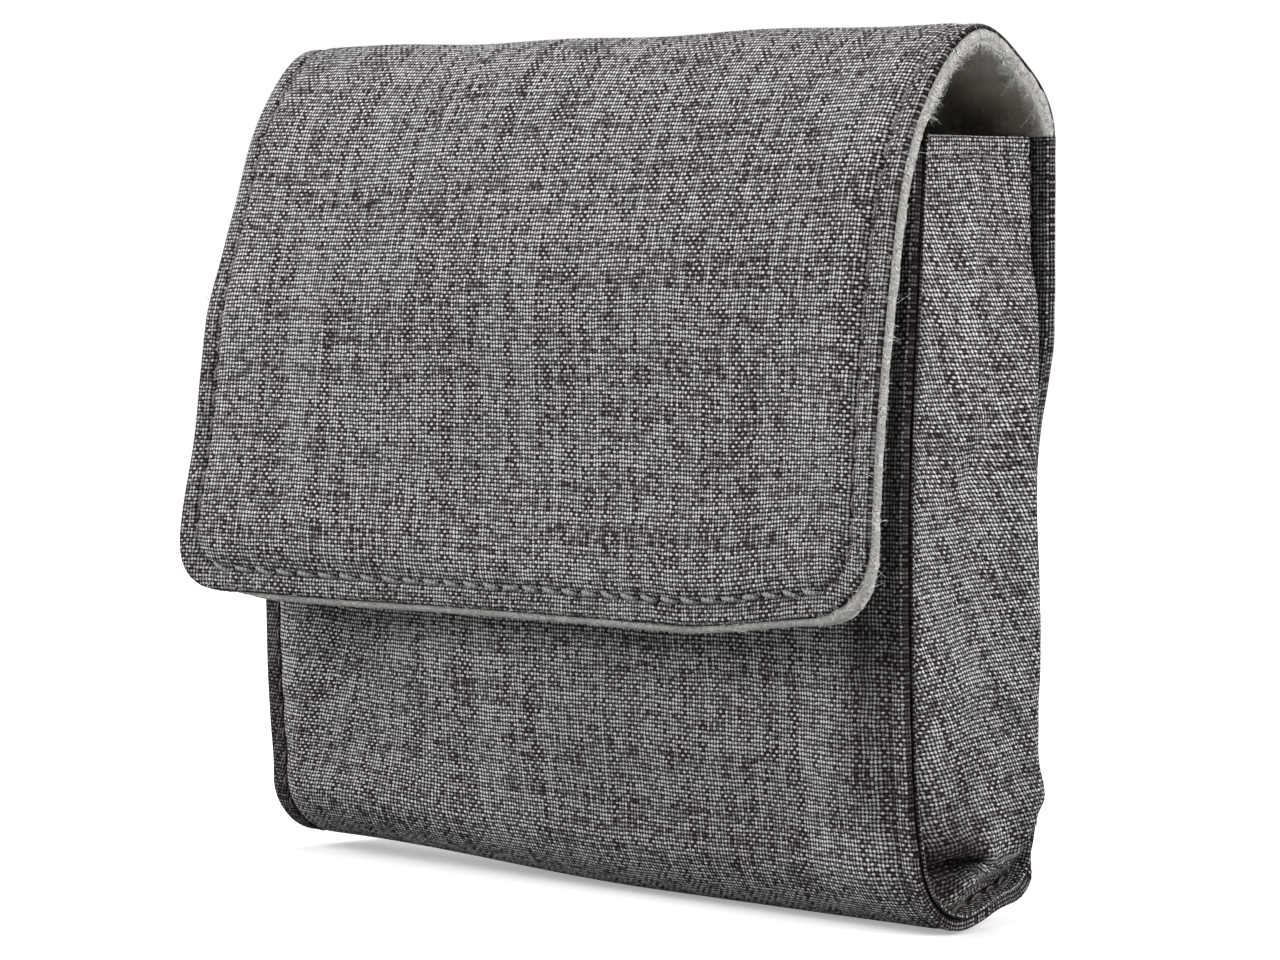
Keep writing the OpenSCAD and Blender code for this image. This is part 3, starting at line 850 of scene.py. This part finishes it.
# painted shade: the hidden bar is dark so that the slot it fills reads as deep
cloth = np.stack(np.broadcast_arrays(np.arange(12) * 0.4, along, 0.88), -1).reshape(-1, 3)
seamAllowance = addMesh("seamAllowance", np.reshape(bars, (-1, 3)), faces, weave, np.vstack([cloth, cloth]))
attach(seamAllowance, "pouch")
print("body cloth made")


def felted(name, panel, place, top, thick, distance, node):
    # A felt sheet between two offsets of a surface, with its edges rounded over
    middle, half = top - thick / 2, thick / 2 * quarter(distance / (thick * 0.5))
    # painted shade that darkens and warms the felt away from its edges
    cloth = np.c_[panel[0], 0.65 * ease((distance - 1.5) / 9)]
    piece = layered(name, panel, place, middle + half, middle - half, felt, cloth)
    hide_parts(node)
    return piece


rimSteps = np.r_[0, 0.1, 0.3, 0.7]                  # finer rows where the felt's edge is rounded
fineX, fineRun = pocket["halfWidth"] - rimSteps, rimSteps - pocket["proud"]
pocketPanel = gridPanel(np.r_[-fineX, np.linspace(-52, 52, 60), fineX[::-1]],
                        np.r_[fineRun, np.linspace(0.6, bodyTop, 170)])
distance = np.minimum(pocket["halfWidth"] - np.abs(pocketPanel[0][:, 0]), pocketPanel[0][:, 1] + pocket["proud"])


def pocketPoint(x, s, n):
    corners = pocket["cornerRise"] * ease((np.abs(x) - 46) / 6) * bump(s / 2.5)
    return stripPoint(x, s, n) + np.stack([0 * s, 0.2 * bump(s / 2), corners], -1)


pocketFelt = felted("pocketFelt", pocketPanel, pocketPoint, -pocket["face"], pocket["thick"], distance, "pocket_lining")
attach(pocketFelt, "pouch")


rowEnd = 54.0                                       # the lower stitch row runs this far each way
lowRowStart = hemLength - 7
flapRings = np.array([8.2, 7.2, 6.2, 5.4, 4.7, 4.2, 3.8, 3.5, 3.3, 3.15, 3.0, 2.85, 2.7, 2.5, 2.2, 1.8, 1.4, 1.0, 0.75,
                      0.5, 0.3, 0.15, 0.05, 0.0])


def needleHoles(u, s):
    # Nearness to a needle hole along the row, from 0 to 1: a bell of 0.5 mm round every joint between stitches
    low = (s > lowRowStart) & (np.abs(u) < rowEnd)
    pitch, gap = sewing["pitch"], sewing["pitch"] - sewing["length"]
    along = np.where(low, u + rowEnd, s - splitLength - 0.4) - 0.3 * pitch + gap / 2
    apart = np.abs((along / pitch + 0.5) % 1 - 0.5) * pitch
    return bump(apart / 0.5) * np.where(low, 1.0, 0.5)


def edgeForm(distance, u, s):
    # The cloth's face near its edge: rounded over the last 0.8 mm, a groove along the stitch row that dips at each
    # needle hole, and a quilted rise just inside it, fullest down the left side, that settles over a centimetre
    rounded = 0.5 * (1 - quarter(distance / 0.8))
    row = distance - flap["edgeRow"]
    full = 0.12 + (0.45 * ease(-u / 40) + 0.25) * ease((s - crestLength - 6) / 12) * ease((hemLength - s) / 10)
    holes = needleHoles(u, s)
    pucker = 0.10 * (0.5 - holes) * bump((np.abs(row) - 0.9) / 0.9)
    quilted = full * (1.5 * ease(row / 2.4) - 0.8 * ease((row - 2.4) / 10))
    return quilted - (0.22 + 0.38 * holes) * bump(row / 0.42) - rounded + pucker


def edgeShade(distance, u, s):
    # painted shade: in the stitch groove, deepest at each needle hole, over the band outside the row, and along the cut
    # edge
    row = distance - flap["edgeRow"]
    near = (0.40 + 0.55 * needleHoles(u, s)) * bump(row / 0.42)
    return near + 0.12 * ease((-row - 0.3) / 0.8) + 0.55 * ease((0.5 - distance) / 0.4)


def makeFlapCloth(name, node, panel, a, b, start, end, flat):
    u, s = panel[0].T
    distance = fit(panel[0], flap["halfWidth"], hemLength, flap["corner"])
    cloth = np.stack([*leftCorner(u, s), edgeShade(distance, u, s)], -1)
    piece = layered(name, panel, flapPoint, edgeForm(distance, u, s), -pouch["cloth"], weave, cloth)
    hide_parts(node)
    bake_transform(piece)
    return piece


# Where each fold starts and ends, in metres. The back one runs from roof to pouch.
foldBack = dict(start=(0, 0.0118, 0.0982), end=(0, 0.01225, 0.0931))
foldCrest = dict(start=(0, 0.0028, 0.1050), end=(0, -0.0085, 0.1035))    # roof to front
flapFlat = (2 * flap["halfWidth"] * 0.001, hemLength * 0.001)
roofPanel = strips(flap["halfWidth"], 0, splitLength, flapRings, 56, 26)
frontPanel = bandedPanel(flap["halfWidth"], splitLength, hemLength, flap["corner"], 221, 130, flapRings)
flapRoofCloth = makeFlapCloth("flapRoofCloth", "flap_roof_cloth", roofPanel, "flap_roof", "pouch",
                              **foldBack, flat=(flapFlat[0], splitLength * 0.001))
flapFrontCloth = makeFlapCloth("flapFrontCloth", "flap_front_cloth", frontPanel, "flap_roof", "flap_front",
                               **foldCrest, flat=(flapFlat[0], (hemLength - splitLength) * 0.001))

feltHalf, feltStop = flap["halfWidth"] + lining["proudSide"], hemLength + lining["proudLow"]
feltRings = np.array([7.6, 6.8, 6.0, 5.0, 4.2, 3.6, 3.2, 2.8, 2.3, 1.8, 1.3, 0.9, 0.6, 0.35, 0.15, 0.05, 0.0])


def trimmed(u, s):  # the felt is cut back round the left corner
    near = ease((-u - 44) / 10) * ease((s - hemLength + 14) / 10)
    return u + 0.8 * near, s - 0.95 * near


def feltFlapPoint(u, s, n):
    # The lining's own surface: softly uneven, and drawn towards the cloth along the stitch row
    distance = fit(np.c_[np.ravel(u), np.ravel(s)], feltHalf, feltStop, lining["corner"]).reshape(np.shape(u))
    pinch = 0.3 * bump((distance - flap["edgeRow"] - 0.4) / 0.8)
    soft = 0.32 * ripple(u, s, 9, 6) * ease((distance - 3) / 6)
    side = np.where(n < -pouch["cloth"] - lining["thick"] / 2, pinch + soft, 0)
    return flapPoint(*trimmed(u, s), n + side + 0.08 * ripple(u, s, 5, 5))


roofPanel = strips(feltHalf, 0, splitLength, feltRings, 56, 26)
frontPanel = bandedPanel(feltHalf, splitLength, feltStop, lining["corner"], 60, 90, feltRings)
for name, panel, node, a, b, fold, start, stop in (
        ("flapRoofFelt", roofPanel, "flap_roof_lining", "flap_roof", "pouch", foldBack, 0, splitLength),
        ("flapFrontFelt", frontPanel, "flap_front_lining", "flap_roof", "flap_front", foldCrest, splitLength,
         feltStop)):
    distance = fit(panel[0], feltHalf, feltStop, lining["corner"])
    piece = felted(name, panel, feltFlapPoint, -pouch["cloth"] - lining["seat"], lining["thick"], distance, node)
    (stop - start) * 0.001
    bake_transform(piece)
print("flap made")


closure = dict(width=40.0, height=20.0, up=6.0, thick=0.85, seat=0.05)
half = closure["width"] / 2
ends = closure["up"] + closure["height"], closure["up"]                 # above the flap's lower edge
frontRow = [bodyPath.nearest(pouch["frontY"] - 1, flap["hem"][1] + up) for up in ends]
flapRow = [hemLength - up for up in ends]
hookTop, loopTop = -pouch["cloth"] - lining["thick"] - closure["seat"], closure["thick"] + closure["seat"]
for name, node, rows, place, top, finish, body in (
        ("loopTape", "loop_patch", frontRow, stripPoint, loopTop, loopFinish, "pouch"),
        ("hookTape", "hook_patch", flapRow, feltFlapPoint, hookTop, hookFinish, "flap_front")):
    panel = gridPanel(np.linspace(-half, half, 40), np.linspace(*rows, 22))
    piece = layered(name, panel, place, top, top - closure["thick"], finish, np.c_[panel[0], 0 * panel[0][:, 0]])
    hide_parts(node)
    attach(piece, body)


def edgePath(distance, start, half=flap["halfWidth"], stop=hemLength, corner=flap["corner"]):
    # A flat path at one distance from the sides and lower edge of a panel, from its top left round to its top right
    low, side = stop - corner, half - corner
    left = np.c_[np.full(60, distance - half), np.linspace(start, low, 60)]
    turn = np.radians(np.linspace(180, 90, 16))[1:]
    cornerLeft = np.c_[-side + (corner - distance) * np.cos(turn), low + (corner - distance) * np.sin(turn)]
    whole = np.vstack([left, cornerLeft])
    return np.vstack([whole, (whole * [-1, 1])[::-1]])


def finishRow(piece, a, b=None):
    if b:
        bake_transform(piece)
    else:
        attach(piece, a)


def underside(u, s, n):
    return feltFlapPoint(u, s, -pouch["cloth"] - lining["thick"] - n)


def onSide(side):
    # Surface of a gusset's web for flat points (y, z)
    def place(y, z, n):
        front, back = webSpan(z)
        out = webOut(y, z, (y - front) / (back - front)) * (1 if side > 0 else gusset["leftShare"])
        return settle(np.stack([side * (pouch["seamX"] + gusset["standoff"] + out + n), y, z], -1))
    return place


def besideRidge(side):
    # The ridge's gusset side, for flat points (distance from the seam, length along the strip)
    def place(q, s, n):
        return settle(bodyPoint(side * (pouch["seamX"] + q), s, -gusset["foot"] - n))
    return place


rowSide = flap["halfWidth"] - flap["edgeRow"]
wholeRow = edgePath(flap["edgeRow"], splitLength + 0.4)
sideLeft = wholeRow[(wholeRow[:, 0] < 0) & ((wholeRow[:, 1] < lowRowStart) | (wholeRow[:, 0] < -rowEnd))]
lowPath = edgePath(flap["edgeRow"], lowRowStart - 0.5)
lowPath = lowPath[(np.abs(lowPath[:, 0]) <= rowEnd) & (lowPath[:, 1] > lowRowStart)]
across = np.linspace(-rowEnd, rowEnd, 400)
lowPath = np.c_[across, np.interp(across, *lowPath.T)]
finishRow(sew("flapStitches", [stitchRow(lowPath, flapPoint, 0.02)], thread), "flap_roof", "flap_front")
sideRows = [stitchRow(sideLeft * [side, 1], flapPoint, -sewing["groove"] - 0.12, thick=0.56, slant=0.4)
            for side in (1, -1)]
finishRow(sew("sideStitches", sideRows, duskThread), "flap_roof", "flap_front")
roofRun = np.linspace(1.2, splitLength, 40)
roofRows = [stitchRow(np.c_[np.full(40, side * rowSide), roofRun], flapPoint, -sewing["groove"] - 0.1, thick=0.5,
                      slant=0.4) for side in (-1, 1)]
finishRow(sew("roofStitches", roofRows, duskThread), "flap_roof", "pouch")
underRow = stitchRow(edgePath(flap["edgeRow"], splitLength + 1.4), underside, -0.24)
finishRow(sew("feltStitches", [underRow], creamThread), "flap_roof", "flap_front")

strip = np.linspace(0.8, bodyTop - 0.8, 400)
ridgeRows = [stitchRow(np.c_[np.full(400, side * (pouch["seamX"] + 0.6)), strip], stripPoint, sunk, thick=0.55,
                       slant=0.3) for side, sunk in ((-1, -0.12), (1, -0.3))]
ridgeRows += [stitchRow(np.c_[np.full(400, 0.8), strip], besideRidge(side), -0.05, thick=0.6, slant=0.5)
              for side in (-1, 1)]
finishRow(sew("ridgeStitches", ridgeRows, brownThread), "pouch")
hemLine = pouch["height"] - gusset["hemRow"]
hemPath = np.c_[np.linspace(-9.6, 9.6, 60), np.full(60, hemLine)]
hemRows = [stitchRow(hemPath, onSide(side), -0.3, thick=0.5, slant=0.3) for side in (-1, 1)]
hemRows.append(stitchRow(np.c_[np.linspace(-53, 53, 90), np.full(90, 3.2)], stripPoint, -0.1, thick=0.7))
finishRow(sew("hemStitches", hemRows, thread), "pouch")


def boxPath(half, start, stop, inset=1.8):
    side, start, stop = half - inset, start + inset, stop - inset
    corners = np.array([[-side, start], [side, start], [side, stop], [-side, stop], [-side, start]])
    return walk(corners, np.arange(5), np.linspace(0, 4, 161))


def onHook(u, s, n):
    return feltFlapPoint(u, s, hookTop - closure["thick"] - n)


def onLoop(u, s, n):
    return stripPoint(u, s, loopTop + n)


for name, rows, place, body in (("hookStitches", flapRow, onHook, "flap_front"),
                                ("loopStitches", frontRow, onLoop, "pouch")):
    finishRow(sew(name, [stitchRow(boxPath(half, *rows), place, -0.12, thick=0.7)], brownThread), body)
print("sewing made")


def nap(name, roots, outs, lengths, width, seed, loose=0.75, inward=0.0):
    # Fine fibres that leave the felt and curl: each centre line is its root, plus its direction times t, plus a
    # sideways bend that grows as t squared and a wave. They take the felt's painted edge highlight, which gives way
    # by inward to painted shade away from the panel's sides.
    pick = np.random.default_rng(seed)
    count = len(roots)
    t = np.linspace(0, 1, 5)[None, :, None]
    aim = unit(outs + loose * pick.standard_normal((count, 3)))
    curl, twist = pick.standard_normal((count, 3)), pick.standard_normal((count, 3))
    size = lengths[:, None, None]
    bent = 0.4 * curl[:, None] * t ** 2 + 0.2 * twist[:, None] * np.sin(t * 4.0)
    centres = roots[:, None] + size * (aim[:, None] * t + bent)
    radii = width * (1 - 0.65 * t[..., 0]) + 0 * centres[..., 0]
    shade = feltLook["edgeShade"] + inward * ease((feltHalf - np.abs(roots[:, 0])) / 6)
    piece = tubes(name, centres, radii, np.cross(aim, curl), 3, felt, np.c_[pick.uniform(0, 60, (count, 2)), shade])
    return piece


def edgeFrame(path, length, at, reach):
    # Points at some lengths along a flat path, and the directions away from it there
    run = unit(walk(path, length, at + reach) - walk(path, length, at - reach))
    return walk(path, length, at), np.c_[-run[:, 1], run[:, 0]]


def edgeRoots(path, count, seed):
    # Random places on the felt's edge along a flat path, and their outward directions
    pick = np.random.default_rng(seed)
    length = distances(path)
    flat, away = edgeFrame(path, length, pick.uniform(0.3, length[-1] - 0.3, count), 0.3)
    angle = pick.uniform(-1.4, 1.4, count)
    depth = -pouch["cloth"] - edgeInset + edgeInset * np.sin(angle)
    step = (edgeInset * np.cos(angle) - 0.12)[:, None]
    base = flapPoint(*trimmed(*(flat + away * step).T), depth)
    aim = flapPoint(*trimmed(*(flat + away * (step + 1)).T), depth + np.sin(angle)) - base
    return base, unit(aim)


def feltBead(name, paths, seed):
    # The felt's teased-out edge: a soft bead along it whose radius wavers from place to place
    parts, faces, attributes, start = [], [], [], 0
    turn = np.arange(14) * math.tau / 14
    for path in paths:
        length = distances(path)
        at = np.linspace(0.02, length[-1] - 0.02, int(length[-1] / 0.28))
        flat, away = edgeFrame(path, length, at, 0.4)
        far, angle = np.meshgrid(at, turn, indexing="ij")
        rough = (0.90 + 0.16 * ripple(far, 2.2 * np.cos(angle) + 40, 0.9, seed)
                 + 0.10 * ripple(far, 2.2 * np.sin(angle), 2.6, seed + 1))
        reach, rise = edgeInset * rough * np.cos(angle), edgeInset * rough * np.sin(angle)
        points = flapPoint(*trimmed(flat[:, :1] + away[:, :1] * reach, flat[:, 1:] + away[:, 1:] * reach),
                           rise - pouch["cloth"] - edgeInset)
        faces += barFaces(*far.shape, start)
        parts.append(points.reshape(-1, 3))
        # the bead takes the felt's painted edge highlight
        attributes.append(np.stack([far, angle * 1.2, 0 * far + feltLook["edgeShade"]], -1).reshape(-1, 3))
        start += far.size
    piece = addMesh(name, np.vstack(parts), faces, felt, np.vstack(attributes))
    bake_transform(piece)


edgeInset = lining["thick"] / 2
frontEdge = edgePath(edgeInset, splitLength, feltHalf, feltStop, lining["corner"])[::-1]
roofRun = np.linspace(0.3, splitLength, 40)
sides = [np.c_[np.full(40, -side * (feltHalf - edgeInset)), roofRun][::-side] for side in (-1, 1)]
feltBead("frontFeltEdge", [frontEdge], 51)
feltBead("roofFeltEdge", sides, 61)
fibres = dict(frontEdge=9000, roofEdge=900, rightFuzz=7000, leftFuzz=2500)
pick = np.random.default_rng(32)
roots, outs = edgeRoots(frontEdge, fibres["frontEdge"], 31)
frontNap = nap("frontNap", roots, outs, pick.gamma(2.2, 0.27, len(roots)) + 0.1, width=0.034, seed=33, loose=0.95)
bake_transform(frontNap)
ofSides = [edgeRoots(side, fibres["roofEdge"], 40 + k) for k, side in enumerate(sides)]
roots, outs = (np.vstack(part) for part in zip(*ofSides))
roofNap = nap("roofNap", roots, outs, pick.gamma(2.0, 0.21, len(roots)) + 0.1, width=0.03, seed=44)
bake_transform(roofNap)


def innerRoots(side, start, stop, count, seed, reach=11.0):
    # Random places on the lining's inner face beside one edge, thinning out away from it, and fibre directions that
    # point inwards and towards the edge
    pick = np.random.default_rng(seed)
    u = side * (feltHalf - 0.5 - reach * pick.uniform(0, 1, count) ** 1.5)
    s = pick.uniform(start, stop, count)
    base = underside(u, s, 0 * u - 0.08)
    aim = underside(u + 0.7 * side, s, 0 * u + 0.8) - base
    return base, unit(aim)


for name, start, stop, a, b, fold, seed in (
        ("roofFuzz", 0.6, splitLength, "flap_roof", "pouch", foldBack, 71),
        ("frontFuzz", splitLength, crestLength + 16, "flap_roof", "flap_front", foldCrest, 81)):
    right = innerRoots(1, start, stop, fibres["rightFuzz"], seed)
    left = innerRoots(-1, start, stop, fibres["leftFuzz"], seed + 1)
    roots, outs = (np.vstack(part) for part in zip(right, left))
    fuzz = nap(name, roots, outs, pick.gamma(3.0, 0.13, len(roots)) + 0.12, width=0.03, seed=seed + 2, loose=0.5,
               inward=2.1)
    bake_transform(fuzz)
print("nap made")


floorMaterial = bpy.data.materials.new("paleFloor")
floorMaterial.use_nodes = True
tree = floorMaterial.node_tree
tree.nodes.clear()
diffuse = addNode(tree, "ShaderNodeBsdfDiffuse", {}, {"Color": (0.86, 0.86, 0.86, 1)})
dim = addNode(tree, "ShaderNodeBsdfDiffuse", {}, {"Color": (0.40, 0.40, 0.40, 1)})     # what the floor throws up
place = addNode(tree, "ShaderNodeTexCoord", output="Object")
distance = addNode(tree, "ShaderNodeVectorMath", {"operation": "LENGTH"}, {0: place}, output="Value")
away = addNode(tree, "ShaderNodeMapRange", {"interpolation_type": "SMOOTHSTEP"},
               {"Value": distance, 1: 0.1, 2: 0.7, 3: 0.35, 4: 0.9})
glow = addNode(tree, "ShaderNodeEmission", {}, {"Color": (1, 1, 1, 1), "Strength": away})
both = addNode(tree, "ShaderNodeAddShader", {}, {0: diffuse, 1: glow})
seen = addNode(tree, "ShaderNodeLightPath", output="Is Camera Ray")
choice = addNode(tree, "ShaderNodeMixShader", {}, {0: seen, 1: dim, 2: both})
out = tree.nodes.new("ShaderNodeOutputMaterial")
tree.links.new(choice.socket, out.inputs[0])
floor = addMesh("floor", [(-4000, -4000, -0.3), (4000, -4000, -0.3), (4000, 4000, -0.3), (-4000, 4000, -0.3)],
                [[0, 1, 2, 3]], floorMaterial, smooth=False)

world = bpy.data.worlds.new("studio")
bpy.context.scene.world = world
world.use_nodes = True
tree = world.node_tree
tree.nodes.clear()
rays = tree.nodes.new("ShaderNodeLightPath")
seen = (Wire(tree, rays.outputs["Is Camera Ray"]) + Wire(tree, rays.outputs["Is Glossy Ray"])
        + Wire(tree, rays.outputs["Is Transmission Ray"]))
strength = 0.16 + seen.clip() * 0.84
sky = addNode(tree, "ShaderNodeBackground", {}, {"Color": (1, 1, 1, 1), "Strength": strength})
out = tree.nodes.new("ShaderNodeOutputWorld")
tree.links.new(sky.socket, out.inputs[0])

lamps = dict(
    left=dict(at=(-0.80, -0.75, 0.60), size=0.7, power=18.0),
    right=dict(at=(1.08, 0.02, 0.50), size=0.6, power=12.5),
    top=dict(at=(0.1, -0.1, 1.0), size=0.6, power=2.6),
    back=dict(at=(-0.35, 0.95, 0.55), size=0.6, power=7.0),
)
target = np.array([0, 0, 0.05])
for name, lamp in lamps.items():
    data = bpy.data.lights.new(name, "AREA")
    data.shape, data.size, data.energy = "SQUARE", lamp["size"], lamp["power"]
    light = bpy.data.objects.new(name, data)
    bpy.context.scene.collection.objects.link(light)
    away = Vector(lamp["at"]) - Vector(target)
    light.location = lamp["at"]
    light.rotation_mode = "QUATERNION"
    light.rotation_quaternion = away.to_track_quat("Z", "Y")

viewer = dict(at=(0.3928, -0.3925, 0.07845), azimuth=45.03, elevation=2.86, lens=124.01)
camera = bpy.data.objects.new("camera", bpy.data.cameras.new("camera"))
bpy.context.scene.collection.objects.link(camera)
bpy.context.scene.camera = camera
camera.data.lens, camera.data.sensor_width, camera.data.sensor_fit = viewer["lens"], 36, "HORIZONTAL"
camera.data.clip_start, camera.data.clip_end = 0.01, 20
a, e = math.radians(viewer["azimuth"]), math.radians(viewer["elevation"])
back = Vector((math.sin(a) * math.cos(e), -math.cos(a) * math.cos(e), math.sin(e)))
camera.location = viewer["at"]
camera.rotation_mode = "QUATERNION"
camera.rotation_quaternion = (-back).to_track_quat("-Z", "Y")
bpy.context.scene.view_settings.view_transform = "Standard"
print("stage made")
